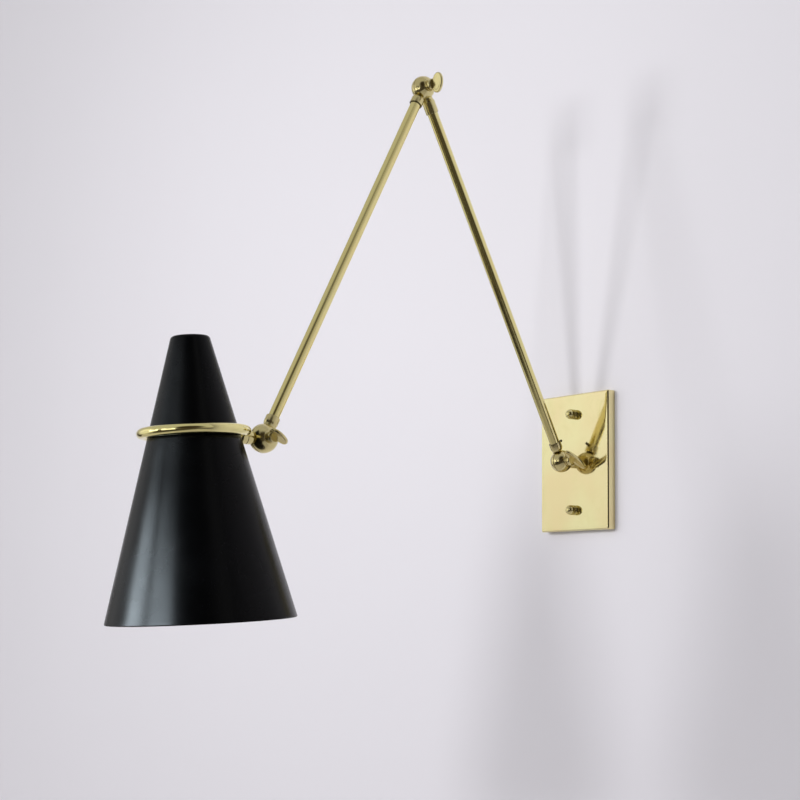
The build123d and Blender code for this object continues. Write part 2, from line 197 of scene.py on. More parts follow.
def makeHandPolish(values):  # cloth smears, hairlines and a buffing wheel's slow waves
    inputs = {"Smear Scale": 55.0, "Hairline Scale": 900.0, "Hairlines": 0.4}
    group, entry, leave = shaderGroup("handPolish", inputs, ("Smear", "Streak", "Height"))
    coords = objectCoords(group)
    clouds = noise(coords, entry["Smear Scale"], 5.0, 1.2)
    fine = stretched(coords, values["hairStretch"], values["hairTurn"])
    hair = ranged(noise(fine, entry["Hairline Scale"]), *values["hairBand"])
    streak = times(hair, entry["Hairlines"])
    wave = noise(coords, values["waveScale"], 1.0)
    height = calc("SUBTRACT", wave, times(streak, values["scratchDepth"]))
    smear = ranged(clouds, *values["smearBand"])
    setInputs(leave, {"Smear": smear, "Streak": streak, "Height": height})
    return group


wearValues = dict(patchBand=(0.4, 0.62), hollowBand=(0.47, 0.38))


def makeEdgeWear(values):  # worn corners and grimy hollows
    inputs = {"Reach": 0.54, "Patch Scale": 280.0}
    group, entry, leave = shaderGroup("edgeWear", inputs, ("Wear", "Hollow"))
    curve = addNode(group, "ShaderNodeNewGeometry", {})["Pointiness"]
    spots = noise(objectCoords(group), entry["Patch Scale"], 4.0)
    patches = ranged(spots, *values["patchBand"])
    corner = calc("GREATER_THAN", curve, entry["Reach"])
    wear, hollow = times(corner, patches), ranged(curve, *values["hollowBand"])
    setInputs(leave, {"Wear": wear, "Hollow": hollow})
    return group


dustValues = dict(speckBand=(0.52, 0.72), facingBand=(-0.1, 0.95))


def makeSettledDust(values):  # specks on faces that look up
    inputs = {"Amount": 0.15, "Speck Scale": 900.0}
    group, entry, leave = shaderGroup("settledDust", inputs, ("Dust",))
    normal = addNode(group, "ShaderNodeNewGeometry", {})["Normal"]
    rise = addNode(group, "ShaderNodeSeparateXYZ", {"Vector": normal})["Z"]
    spots = noise(objectCoords(group), entry["Speck Scale"], 6.0)
    specks = ranged(spots, *values["speckBand"])
    facing = ranged(rise, *values["facingBand"])
    dust = times(times(facing, specks), entry["Amount"])
    setInputs(leave, {"Dust": dust})
    return group


handPolish = makeHandPolish(polishValues)
edgeWear = makeEdgeWear(wearValues)
settledDust = makeSettledDust(dustValues)

brassValues = dict(
    colour=(0.85, 0.77, 0.35), warmColour=(0.84, 0.73, 0.32), smearColour=(0.80, 0.72, 0.36),
    grimeColour=(0.12, 0.08, 0.03), smearTint=0.4, grime=0.85, wearReach=0.55, roughness=0.09,
    smearRoughness=0.06, streakRoughness=0.10, smearScale=55.0, toneScale=12.0, toneBand=(0.36, 0.64),
    wave=0.05, waveHeight=0.0006,
)


def makeBrass(name, changes):
    values = {**brassValues, **changes}
    material, tree, shader = startFinish(name)
    coords = objectCoords(tree)
    polish = useGroup(tree, handPolish, {"Smear Scale": values["smearScale"]})
    wear = useGroup(tree, edgeWear, {"Reach": values["wearReach"]})
    tone = ranged(noise(coords, values["toneScale"]), *values["toneBand"])
    colour = mixed(tone, values["colour"], values["warmColour"])
    smeared = times(polish["Smear"], values["smearTint"])
    colour = mixed(smeared, colour, values["smearColour"])
    grimy = times(wear["Hollow"], values["grime"])
    colour = mixed(grimy, colour, values["grimeColour"])
    smearRough = times(polish["Smear"], values["smearRoughness"])
    streakRough = times(polish["Streak"], values["streakRoughness"])
    rough = calc("ADD", calc("ADD", smearRough, streakRough), values["roughness"])
    normal = bumped(polish["Height"], values["wave"], values["waveHeight"])
    inputs = {"Base Color": colour, "Metallic": 1.0, "Roughness": rough, "Normal": normal}
    setInputs(shader, inputs)
    return material


blackValues = dict(
    colour=(0.0005, 0.0006, 0.0009), paleColour=(0.0009, 0.0011, 0.0016), patchScale=16.0,
    patchBand=(0.35, 0.7), rubColour=(0.012, 0.012, 0.013), rub=0.5, wearReach=0.57, wearScale=240.0,
    dustColour=(0.12, 0.118, 0.115), dust=0.02, speckScale=1100.0, roughness=0.24, smoother=0.02,
    rougher=0.05, cloudScale=26.0, gloss=0.10, grainScale=1500.0, grainShare=0.75, spinScale=190.0,
    spinShare=0.25, spinWander=0.4, bump=0.06,
)


def makeBlackPaint(name, values):
    material, tree, shader = startFinish(name)
    coords = objectCoords(tree)
    patches = ranged(noise(coords, values["patchScale"], 4.0), *values["patchBand"])
    colour = mixed(patches, values["colour"], values["paleColour"])
    wear = useGroup(tree, edgeWear, {"Reach": values["wearReach"], "Patch Scale": values["wearScale"]})
    rubbed = times(wear["Wear"], values["rub"])
    colour = mixed(rubbed, colour, values["rubColour"])
    dust = useGroup(tree, settledDust, {"Amount": values["dust"], "Speck Scale": values["speckScale"]})
    colour = mixed(dust["Dust"], colour, values["dustColour"])
    rough = roughened(noise(coords, values["cloudScale"], 5.0), values)
    upright = stretched(coords, (1.0, 1.0, 1.0), (math.radians(-shadeLean), 0.0, 0.0))
    spun = tree.nodes.new("ShaderNodeTexWave")  # faint rings left by the lathe
    spun.bands_direction = "Z"
    scale, wander = pick(values, "spinScale spinWander")
    setInputs(spun, {"Vector": upright, "Scale": scale, "Distortion": wander})
    grain = times(noise(coords, values["grainScale"]), values["grainShare"])
    rings = times(spun.outputs["Fac"], values["spinShare"])
    normal = bumped(calc("ADD", grain, rings), values["bump"])
    inputs = {"Base Color": colour, "Roughness": rough, "Specular IOR Level": values["gloss"]}
    setInputs(shader, {**inputs, "Normal": normal})
    return material


steelValues = dict(
    dark=0.75, spangleShare=0.15, spangleBand=(0.36, 0.64), hollow=0.6, hollowDark=0.25, wearReach=0.55,
    smoother=0.05, rougher=0.09, bump=0.06,
)


def makeSteel(name, changes):
    values = {**steelValues, **changes}
    material, tree, shader = startFinish(name)
    coords = objectCoords(tree)
    grain = noise(coords, values["grainScale"], 4.0)
    flecks = noise(coords, values["grainScale"] * values["spangleShare"], 3.0)
    wear = useGroup(tree, edgeWear, {"Reach": values["wearReach"]})
    darker = tuple(part * values["dark"] for part in values["colour"])
    darkest = tuple(part * values["hollowDark"] for part in darker)
    colour = mixed(ranged(flecks, *values["spangleBand"]), values["colour"], darker)
    hollow = times(wear["Hollow"], values["hollow"])
    colour, rough = mixed(hollow, colour, darkest), roughened(grain, values)
    inputs = {"Base Color": colour, "Metallic": 1.0, "Roughness": rough}
    setInputs(shader, {**inputs, "Normal": bumped(grain, values["bump"])})
    return material


mouldedValues = dict(
    mottleScale=40.0, mottleBand=(0.35, 0.7), paler=1.07, lift=0.003, dustColour=(0.4, 0.39, 0.37),
    dust=0.1, cloudScale=70.0, smoother=0.05, rougher=0.08, grain=0.05,
)


def makeMoulded(name, changes):
    values = {**mouldedValues, **changes}
    material, tree, shader = startFinish(name)
    coords = objectCoords(tree)
    mottle = ranged(noise(coords, values["mottleScale"], 4.0), *values["mottleBand"])
    paler = tuple(min(1.0, part * values["paler"] + values["lift"]) for part in values["colour"])
    colour = mixed(mottle, values["colour"], paler)
    dust = useGroup(tree, settledDust, {"Amount": values["dust"]})
    colour = mixed(dust["Dust"], colour, values["dustColour"])
    rough = roughened(noise(coords, values["cloudScale"], 3.0), values)
    normal = bumped(noise(coords, values["grainScale"]), values["grain"])
    setInputs(shader, {"Base Color": colour, "Roughness": rough, "Normal": normal})
    return material


plateBrassValues = dict(
    colour=(0.85, 0.79, 0.435), warmColour=(0.85, 0.72, 0.40), roughness=0.07, wave=0.03, toneScale=16.0,
)
turnedBrassValues = dict(  # the small turned pieces, darker and browner than the other brass
    colour=(0.73, 0.65, 0.31), warmColour=(0.68, 0.58, 0.28), smearColour=(0.62, 0.55, 0.31), grime=0.95,
    roughness=0.15, smearRoughness=0.10,
)
tubeBrassValues = dict(roughness=0.13, smearScale=30.0, wave=0.06)
# painted shade: a near-black brass for the collars' end faces, standing in for their shade and dark
# reflection
shadedEndBrassValues = dict(
    colour=(0.10, 0.08, 0.035), warmColour=(0.07, 0.055, 0.025), smearColour=(0.13, 0.11, 0.05),
    roughness=0.4,
)
zincValues = dict(colour=(0.62, 0.62, 0.60), roughness=0.27, grainScale=500.0)
darkSteelValues = dict(colour=(0.10, 0.08, 0.055), roughness=0.33, grainScale=700.0)
nickelValues = dict(colour=(0.70, 0.68, 0.63), roughness=0.2, grainScale=900.0)
whitePaintValues = dict(colour=(0.74, 0.73, 0.70), roughness=0.42, grainScale=1300.0)
nylonValues = dict(colour=(0.68, 0.66, 0.60), roughness=0.42, grainScale=900.0, dust=0.2)
phenolicValues = dict(colour=(0.016, 0.015, 0.014), roughness=0.28, grainScale=1200.0, grain=0.06)
opalValues = dict(colour=(0.86, 0.85, 0.82), roughness=0.16, grainScale=60.0, grain=0.02, dust=0.05)
brass = makeBrass("polishedBrass", {})
plateBrass = makeBrass("plateBrass", plateBrassValues)
turnedBrass = makeBrass("turnedBrass", turnedBrassValues)
tubeBrass = makeBrass("drawnTubeBrass", tubeBrassValues)
# painted shade for the collars' end faces
shadedEndBrass = makeBrass("shadedEndBrass", shadedEndBrassValues)
blackPaint = makeBlackPaint("satinBlackPaint", blackValues)
whitePaint = makeMoulded("whiteInnerPaint", whitePaintValues)
zincSteel = makeSteel("zincPlatedSteel", zincValues)
darkSteel = makeSteel("darkScrewSteel", darkSteelValues)
nickel = makeSteel("nickelPlate", nickelValues)
nylon = makeMoulded("nylonWasher", nylonValues)
phenolic = makeMoulded("blackPhenolic", phenolicValues)
opalGlass = makeMoulded("opalGlass", opalValues)
slots = {tone: "polished_brass" for tone in (brass, plateBrass, turnedBrass, tubeBrass)}
slots |= {zincSteel: "zinc_steel", darkSteel: "dark_steel", nickel: "nickelled_shell"}
slots |= {nylon: "white_nylon", phenolic: "black_phenolic", opalGlass: "opal_glass"}
slots[blackPaint] = "black_paint"
print("finishes made")


# mesh building blocks
def softened(corners, steps=4):  # each corner is (along, radius) or (along, radius, softening)
    points = []
    for place, corner in enumerate(corners):
        spot = Vector(corner[:2])
        soft = corner[2] if len(corner) > 2 else 0
        if not soft or place in (0, len(corners) - 1):
            points.append(tuple(spot))
            continue
        before = Vector(corners[place - 1][:2]) - spot
        after = Vector(corners[place + 1][:2]) - spot
        start = spot + before.normalized() * min(soft, before.length * 0.49)
        end = spot + after.normalized() * min(soft, after.length * 0.49)
        for step in range(steps + 1):
            t = step / steps
            points.append(tuple(start * (1 - t) ** 2 + spot * 2 * t * (1 - t) + end * t**2))
    return points


def lathe(bm, start, axis, profile, steps, closed=False):
    side = axis.orthogonal().normalized()
    other = axis.cross(side)
    turns = [2 * math.pi * step / steps for step in range(steps)]
    ways = [side * math.cos(turn) + other * math.sin(turn) for turn in turns]
    rows = []
    for along, radius in profile:
        centre = start + axis * (along * mm)
        if radius < 0.001:
            rows.append([bm.verts.new(centre)])
        else:
            rows.append([bm.verts.new(centre + way * (radius * mm)) for way in ways])
    following = rows[1:] + rows[:1] if closed else rows[1:]
    for low, high in zip(rows, following):
        for step in range(steps):
            ahead = (step + 1) % steps
            if len(low) == 1 and len(high) == 1:
                continue
            if len(low) == 1:
                bm.faces.new((low[0], high[ahead], high[step]))
            elif len(high) == 1:
                bm.faces.new((low[step], low[ahead], high[0]))
            else:
                bm.faces.new((low[step], low[ahead], high[ahead], high[step]))


def loft(bm, loops):  # joins closed loops of equal length and caps both ends
    rows = [[bm.verts.new(point) for point in loop] for loop in loops]
    count = len(rows[0])
    for low, high in zip(rows, rows[1:]):
        for step in range(count):
            ahead = (step + 1) % count
            bm.faces.new((low[step], low[ahead], high[ahead], high[step]))
    bm.faces.new(rows[0])
    bm.faces.new(rows[-1])


def ballArc(radius, first, last, steps=20):  # points on a ball between two places along its axis
    low, high = math.asin(first / radius), math.asin(last / radius)
    turns = [low + (high - low) * step / steps for step in range(steps + 1)]
    return [(radius * math.sin(turn), radius * math.cos(turn)) for turn in turns]


def finishMesh(name, bm):
    bmesh.ops.remove_doubles(bm, verts=bm.verts, dist=0.000001)
    bmesh.ops.recalc_face_normals(bm, faces=bm.faces)
    mesh = bpy.data.meshes.new(name)
    bm.to_mesh(mesh)
    bm.free()
    return mesh


def turnedMesh(name, start, axis, profile, steps, closed=False):
    bm = bmesh.new()
    lathe(bm, start, axis, profile, steps, closed)
    return finishMesh(name, bm)


def addPiece(name, mesh, material, body, node, sharpAngle=34.0):
    piece = addObject(name, mesh)
    mesh.materials.clear()
    mesh.materials.append(material)
    mesh.shade_smooth()
    mesh.set_sharp_from_angle(angle=math.radians(sharpAngle))
    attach(piece, body)
    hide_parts(node)
    return piece


def makeRepeatTree():  # repeats its own mesh along a line
    tree = bpy.data.node_groups.new("repeatAlongLine", "GeometryNodeTree")
    tree.interface.new_socket("Geometry", in_out="INPUT", socket_type="NodeSocketGeometry")
    kinds = {"Count": "Int", "Start": "Vector", "Step": "Vector", "Finish": "Material"}
    for label, kind in kinds.items():
        tree.interface.new_socket(label, in_out="INPUT", socket_type="NodeSocket" + kind)
    tree.interface.new_socket("Geometry", in_out="OUTPUT", socket_type="NodeSocketGeometry")
    entry = tree.nodes.new("NodeGroupInput")
    leave = tree.nodes.new("NodeGroupOutput")
    line = tree.nodes.new("GeometryNodeMeshLine")
    line.mode = "OFFSET"
    copies = tree.nodes.new("GeometryNodeInstanceOnPoints")
    realize = tree.nodes.new("GeometryNodeRealizeInstances")
    paint = tree.nodes.new("GeometryNodeSetMaterial")
    for source, label, target, place in (
        (entry, "Count", line, "Count"),
        (entry, "Start", line, "Start Location"),
        (entry, "Step", line, "Offset"),
        (line, "Mesh", copies, "Points"),
        (entry, "Geometry", copies, "Instance"),
        (copies, "Instances", realize, "Geometry"),
        (realize, "Geometry", paint, "Geometry"),
        (entry, "Finish", paint, "Material"),
        (paint, "Geometry", leave, "Geometry"),
    ):
        tree.links.new(source.outputs[label], target.inputs[place])
    return tree


repeatTree = makeRepeatTree()
repeatSockets = {
    item.name: item.identifier for item in repeatTree.interface.items_tree if item.in_out == "INPUT"
}


def repeated(mesh, count, start, step, material):  # a plain mesh of the repeated copies
    holder = addObject("repeatHolder", mesh)
    modifier = holder.modifiers.new("repeat", "NODES")
    modifier.node_group = repeatTree
    inputs = {"Count": count, "Start": start, "Step": step, "Finish": material}
    for label, value in inputs.items():
        modifier[repeatSockets[label]] = value
    evaluated = holder.evaluated_get(bpy.context.evaluated_depsgraph_get())
    result = bpy.data.meshes.new_from_object(evaluated)
    bpy.data.objects.remove(holder)
    return result


# wall plate: thick brass with a narrow chamfer and a hollow back
plateValues = dict(
    edge=1.1,  # width of the chamfer
    soft=0.24, corner=1.5,
    cornerShrink=0.8,  # how much of an inset a corner's radius loses
    leastCorner=0.5, cornerSteps=6,
    border=3.0,  # an even row of faces inside the chamfer
    sideWall=3.2, frontWall=3.0, hollowCorner=0.6,
)


def roundedRectangle(halfWidth, halfHeight, corner, depth, steps):
    points = []
    for quarter, (signX, signZ) in enumerate(((1, 1), (-1, 1), (-1, -1), (1, -1))):
        centreX, centreZ = signX * (halfWidth - corner), signZ * (halfHeight - corner)
        for step in range(steps + 1):
            turn = math.pi / 2 * (quarter + step / steps)
            x = centreX + corner * math.cos(turn)
            z = centreZ + corner * math.sin(turn)
            points.append(Vector((x, depth, z)) * mm)
    return points


def makePlate(values):
    low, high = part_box("wall_plate")
    halfWidth, halfHeight, thick = high.x / mm, high.z / mm, -low.y / mm
    edge, soft, steps, border = pick(values, "edge soft cornerSteps border")

    def outline(inset, corner, depth):
        return roundedRectangle(halfWidth - inset, halfHeight - inset, corner, depth, steps)

    hollow = (values["frontWall"] - thick, 0)  # from its floor to the rim on the wall
    loops = [outline(values["sideWall"], values["hollowCorner"], depth) for depth in hollow]
    section = [(0, 0), (thick - edge, 0, soft), (thick, edge, soft), (thick, edge + border)]
    for height, inset in softened(section, 3):  # height off the wall, inset from the outline
        corner = max(values["corner"] - inset * values["cornerShrink"], values["leastCorner"])
        loops.append(outline(inset, corner, -height))
    bm = bmesh.new()
    loft(bm, loops)
    addPiece("plate_polished", finishMesh("wallPlate", bm), plateBrass, "wall_mount", "wall_plate")


makePlate(plateValues)

# two domed cap nuts with a grooved base
capValues = dict(
    radius=4.6, height=9.0, flange=1.6, neck=1.3, neckRadius=3.6,
    straight=1.2,  # from the neck to where the dome starts
    domePower=0.85, domeSteps=12, steps=48, spacing=88.9,
)


def makeCapNuts(values):
    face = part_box("wall_plate")[0].y
    radius, flange, neck, steps = pick(values, "radius flange neckRadius domeSteps")
    groove = flange + values["neck"]
    base = groove + values["straight"]
    corners = [(0, 0), (0, radius), (flange, radius, 0.45), (flange, neck, 0.2)]
    corners += [(groove, neck, 0.2), (groove, radius, 0.4), (base, radius)]
    profile = softened(corners)
    rise = values["height"] - base
    for step in range(1, steps):
        turn = math.pi / 2 * step / steps
        profile.append((base + rise * math.sin(turn), radius * math.cos(turn) ** values["domePower"]))
    profile.append((values["height"], 0))
    one = turnedMesh("capNut", Vector((0, face, 0)), outward, profile, values["steps"])
    half = values["spacing"] / 2 * mm
    pair = repeated(one, 2, (0, 0, -half), (0, 0, 2 * half), turnedBrass)
    addPiece("cap_nut_pair", pair, turnedBrass, "wall_mount", "cap_nuts")


makeCapNuts(capValues)
print("plate and cap nuts made")

# split-ball swivels
ballValues = dict(wall=20.5, elbow=20.5, shade=23.5)
swivelValues = dict(
    gap=0.5,  # the seam between the two halves
    seamEdge=0.35,
    seamDrop=0.6,  # share of the edge that the seam's rim lies lower
    bore=2.65, threadDepth=6.5,
    flatDepth=1.6,  # the flat where the screw's boss sits
    flatSoft=(0.08, 0.12),
    collarGap=0.5,  # from the ball to the start of a collar
    lead=1.9,  # the collar's cone at its start
    leadSoft=0.5, rootAngle=24.0, rootSoft=0.12,
    rootStart=0.3,  # share of the ball's diameter
    rootOverlap=0.05, tubeFit=0.05, tubeSeat=1.35, mouthSoft=0.15, softEnd=0.45, ballSteps=96,
    collarSteps=64,
)
collarValues = dict(radius=5.6, end=18.55, longEnd=23.0, shadeRadius=5.9, shadeEnd=19.6)
stemValues = dict(end=16.0, thread=5.0, bore=3.4, boreDepth=5.0)
neckValues = dict(radius=5.8, end=22.0, groove=17.5, grooveDepth=0.3, grooveReach=0.3)
tubeRadius = 4.6


def collarStart(place):
    return ballValues[place] / 2 + swivelValues["collarGap"]


def seatLevel(place):  # where a tube's end sits in its collar
    return collarStart(place) + swivelValues["lead"] + swivelValues["tubeSeat"]


def addHalf(bm, pivot, side, radius, values):  # one half of the ball, turned about the screw's axis
    gap, edge, bore = pick(values, "gap seamEdge bore")
    gap /= 2
    seam = math.sqrt(radius**2 - (gap + edge) ** 2)
    rim = (gap, seam - edge * values["seamDrop"])
    drilled = side > 0  # right through, to a flat for the boss, where the other half is threaded
    if drilled:
        flat = radius - values["flatDepth"]
        softAlong, softAcross = values["flatSoft"]
        profile = [(gap, bore), rim] + ballArc(radius, gap + edge, flat - softAlong)
        profile += [(flat, math.sqrt(radius**2 - flat**2) - softAcross), (flat, bore)]
    else:
        floor = gap + values["threadDepth"]
        profile = [(floor, 0), (floor, bore), (gap, bore), rim]
        profile += ballArc(radius, gap + edge, radius * 0.9999)[:-1] + [(radius, 0)]
    lathe(bm, pivot, alongWall * side, profile, values["ballSteps"], closed=drilled)


def addRoot(bm, pivot, side, direction, radius, first, last):  # the half-round bar from ball to collar
    reach = math.acos(swivelValues["gap"] / 2 / radius)
    across = direction.cross(alongWall)
    turns = [reach * step / 16 for step in range(-16, 17)]
    outline = [(radius * math.cos(turn), radius * math.sin(turn)) for turn in turns]
    loops = []
    for along in (first, last):
        centre = pivot + direction * (along * mm)
        loops.append([centre + (alongWall * (side * x) + across * w) * mm for x, w in outline])
    loft(bm, loops)


def collarLead(place, radius, values):  # the collar's first corners, at the ball
    start = collarStart(place)
    root = start * math.tan(math.radians(values["rootAngle"]))
    corners = [(start, 0), (start, root, values["rootSoft"])]
    return corners + [(start + values["lead"], radius, values["leadSoft"])]


def collarSocket(place, radius, end, values):  # the collar that grips an arm's tube
    socket, seat = tubeRadius + values["tubeFit"], seatLevel(place)
    corners = [(end, radius, values["softEnd"]), (end, socket, values["mouthSoft"])]
    return collarLead(place, radius, values) + corners + [(seat, socket), (seat, 0)]


def stemCorners(values):  # the wall swivel's collar, standing on the plate, and its threaded end
    (end, thread, bore), radius = pick(values, "end thread bore"), collarValues["radius"]
    tip = (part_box("wall_swivel_stem")[1].y - wallPivot.y) / mm
    floor = tip - values["boreDepth"]
    corners = [(end, radius, 0.1), (end, thread), (tip, thread, 0.5), (tip, bore, 0.2)]
    return collarLead("wall", radius, swivelValues) + corners + [(floor, bore), (floor, 0)]


def neckCorners(values):  # the shade swivel's neck, with a fine groove, up to the ring
    radius, groove, reach, end = pick(values, "radius groove grooveReach end")
    corners = [(groove - reach, radius), (groove, radius - values["grooveDepth"]), (groove + reach, radius)]
    return collarLead("shade", radius, swivelValues) + corners + [(end, radius), (end, 0)]


def makeHalf(name, node, body, place, side, direction, corners, values):
    pivot, ball = pivots[place], ballValues[place]
    rootEnd, rootRadius = corners[1][:2]
    first, last = ball * values["rootStart"], rootEnd + values["rootOverlap"]
    bm = bmesh.new()
    addHalf(bm, pivot, side, ball / 2, values)
    addRoot(bm, pivot, side, direction, rootRadius, first, last)
    lathe(bm, pivot, direction, softened(corners), values["collarSteps"])
    piece = addPiece(name, finishMesh(name, bm), turnedBrass, body, node)
    piece.data.materials.append(shadedEndBrass)
    far = max(corner[0] for corner in corners) - values["softEnd"]
    for face in piece.data.polygons:  # painted shade: the collar's far end face is painted dark, standing in for the shade and dark reflection seen there
        if (face.center - pivot).dot(direction) > far * mm and face.normal.dot(direction) > 0.3:
            face.material_index = 1


def makeSwivels(collar, values):
    radius, end, shadeRadius, shadeEnd = pick(collar, "radius end shadeRadius shadeEnd")
    wallEnd = collarSocket("wall", radius, end, values)
    longEnd = collarSocket("elbow", radius, collar["longEnd"], values)
    elbowEnd = collarSocket("elbow", radius, end, values)
    shadeEnd = collarSocket("shade", shadeRadius, shadeEnd, values)
    stem, neck = stemCorners(stemValues), neckCorners(neckValues)
    for name, node, body, place, side, direction, corners in (
        ("wall_ball_stem", "wall_swivel_stem", "wall_mount", "wall", 1, inward, stem),
        ("wall_ball_arm", "wall_swivel_arm_half", "lower_arm", "wall", -1, lowerUp, wallEnd),
        ("elbow_ball_lower", "elbow_lower_half", "lower_arm", "elbow", 1, -lowerUp, longEnd),
        ("elbow_ball_upper", "elbow_upper_half", "upper_arm", "elbow", -1, upperDown, elbowEnd),
        ("shade_ball_arm", "shade_swivel_arm_half", "upper_arm", "shade", 1, -upperDown, shadeEnd),
        ("shade_ball_neck", "shade_swivel_neck", "shade_head", "shade", -1, outward, neck),
    ):
        makeHalf(name, node, body, place, side, direction, corners, values)


makeSwivels(collarValues, swivelValues)

washerValues = dict(clear=0.03, inset=1.6, edge=0.1)  # clear of both halves


def makeFrictionWasher(node, body, place, values):
    half = swivelValues["gap"] / 2 - values["clear"]
    radius, edge, bore = ballValues[place] / 2 - values["inset"], values["edge"], swivelValues["bore"]
    corners = [(-half, bore), (-half, radius - edge), (-half + edge, radius)]
    corners += [(half - edge, radius), (half, radius - edge), (half, bore)]
    mesh = turnedMesh(node, pivots[place], alongWall, corners, 64, closed=True)
    addPiece(node + "_cut", mesh, nylon, body, node)


makeFrictionWasher("wall_swivel_washer", "wall_mount", "wall", washerValues)
makeFrictionWasher("elbow_washer", "lower_arm", "elbow", washerValues)
makeFrictionWasher("shade_swivel_washer", "upper_arm", "shade", washerValues)
print("swivels made")

# thumb screws: grooved boss and a dished oval paddle
screwValues = dict(
    shaft=2.5, depth=6.45, clearance=0.1, boss=5.0, bossLength=5.5, bossEdge=0.35, bossRound=1.3,
    flange=1.6, groove=3.8, grooveWidth=1.2, grooveSoft=0.15, steps=56,
)
paddleValues = dict(
    wall=dict(lean=60.0, width=10.4, length=28.0),
    elbow=dict(lean=0.0, width=13.2, length=17.8),
    shade=dict(lean=52.0, width=13.2, length=17.8),
    sink=1.1,  # how deep the paddle goes into the boss
    thick=2.6, rimRound=0.95, rimSteps=6, dish=0.35, steps=56,
)


def addPaddle(bm, centre, across, along, width, length, values):
    normal = across.cross(along)
    thick, rim, dish, steps, rimSteps = pick(values, "thick rimRound dish steps rimSteps")
    half = thick / 2
    rows = [(width * 0.3, half - dish), (width * 0.2, half - dish * 0.7), (rim + 0.6, half)]
    for step in range(rimSteps + 1):  # inset from the outline, height
        turn = math.pi / 2 * step / rimSteps
        rows.append((rim * (1 - math.sin(turn)), half - rim + rim * math.cos(turn)))
    rows += [(inset, -height) for inset, height in reversed(rows)]
    turns = [2 * math.pi * step / steps for step in range(steps)]
    loops = []
    for inset, height in rows:
        semiX, semiZ = width / 2 - inset, length / 2 - inset
        oval = [across * (semiX * math.cos(turn)) + along * (semiZ * math.sin(turn)) for turn in turns]
        loops.append([centre + (spot + normal * height) * mm for spot in oval])
    loft(bm, loops)


def makeThumbScrew(place, values, paddle):
    pivot, (lean, width, length) = pivots[place], pick(paddle[place], "lean width length")
    seat = ballValues[place] / 2 - swivelValues["flatDepth"] + values["clearance"]
    first = seat + values["flange"]
    second, end = first + values["grooveWidth"], seat + values["bossLength"]
    depth, shaft, boss, groove, edge, soft = pick(values, "depth shaft boss groove bossEdge grooveSoft")
    corners = [(-depth, 0), (-depth, shaft, 0.5), (seat, shaft), (seat, boss, edge), (first, boss, edge)]
    corners += [(first, groove, soft), (second, groove, soft), (second, boss, edge)]
    corners += [(end, boss, values["bossRound"]), (end, 0)]
    bm = bmesh.new()
    lathe(bm, pivot, alongWall, softened(corners), values["steps"])
    grip = pivot + alongWall * ((end + width / 2 - paddle["sink"]) * mm)
    addPaddle(bm, grip, alongWall, leaning(lean), width, length, paddle)
    mesh = finishMesh(place + "_paddle", bm)
    addPiece(place + "_paddle", mesh, turnedBrass, place + "_screw", place + "_thumb_screw")


for place in ballValues:
    makeThumbScrew(place, screwValues, paddleValues)

# the two arms
armValues = dict(wall=1.0, soft=0.2, steps=64)
armLength = (elbowPivot - wallPivot).length / mm  # the same for both arms


def makeArm(name, node, body, start, direction, nearBall, farBall, values):
    near, far = seatLevel(nearBall), armLength - seatLevel(farBall)
    inner, soft = tubeRadius - values["wall"], values["soft"]
    profile = [(near, inner), (near, tubeRadius - soft), (near + soft, tubeRadius)]
    profile += [(near + (far - near) * part, tubeRadius) for part in (0.25, 0.5, 0.75)]
    profile += [(far - soft, tubeRadius), (far, tubeRadius - soft), (far, inner)]
    mesh = turnedMesh(name, start, direction, profile, values["steps"], closed=True)
    addPiece(name, mesh, tubeBrass, body, node)


makeArm("lower_tube", "lower_arm_tube", "lower_arm", wallPivot, lowerUp, "wall", "elbow", armValues)
makeArm("upper_tube", "upper_arm_tube", "upper_arm", elbowPivot, upperDown, "elbow", "shade", armValues)

# small dark screw in the wall swivel's collar
setScrewValues = dict(
    radius=1.2, length=4.4, fromEnd=1.7, soft=0.3, socket=0.62, socketDepth=0.9, steps=32,
)


def makeSetScrew(values):
    start = wallPivot + lowerUp * ((collarValues["end"] - values["fromEnd"]) * mm)
    way = alongWall.cross(lowerUp) * -1  # square to the arm, towards the wall
    radius, socket = values["radius"], values["socket"]
    end = tubeRadius + values["length"]
    floor = end - values["socketDepth"]
    corners = [(tubeRadius, 0), (tubeRadius, radius), (end, radius, values["soft"]), (end, socket)]
    corners += [(floor, socket), (floor, 0)]
    mesh = turnedMesh("collarPeg", start, way, softened(corners), values["steps"])
    addPiece("collar_peg", mesh, darkSteel, "lower_arm", "collar_set_screw")


makeSetScrew(setScrewValues)
print("arms and screws made")

# ring: one round brass rod round the shade
ringValues = dict(radius=40.0, rod=4.0, reach=64.1, steps=128, rodSteps=32)
axisUp = leaning(shadeLean)
ringCentre = shadePivot + outward * (ringValues["reach"] * mm)


def makeRing(values):
    radius, rod, steps = pick(values, "radius rod rodSteps")
    turns = [2 * math.pi * step / steps for step in range(steps)]
    profile = [(rod * math.sin(turn), radius + rod * math.cos(turn)) for turn in turns]
    mesh = turnedMesh("shadeRing", ringCentre, axisUp, profile, values["steps"], closed=True)
    addPiece("shade_ring_round", mesh, brass, "shade_head", "shade_ring")


makeRing(ringValues)

# shade: spun cone with a closed rounded top and a rolled rim
shadeValues = dict(
    rimRadius=73.8, topRadius=14.8, height=219.2, ringLevel=144.8, wall=1.0, topRound=2.6,
    topRow=4.0,  # an even row of faces under the inner rounding
    rows=12, bead=0.8,
    beadTurns=1.25,  # half turns of the rolled rim
    beadSteps=14,
    beadOuter=1.6,  # from the bead's middle to the first row of the outer face
    beadInner=1.2, steps=160, sharpAngle=50.0,
)


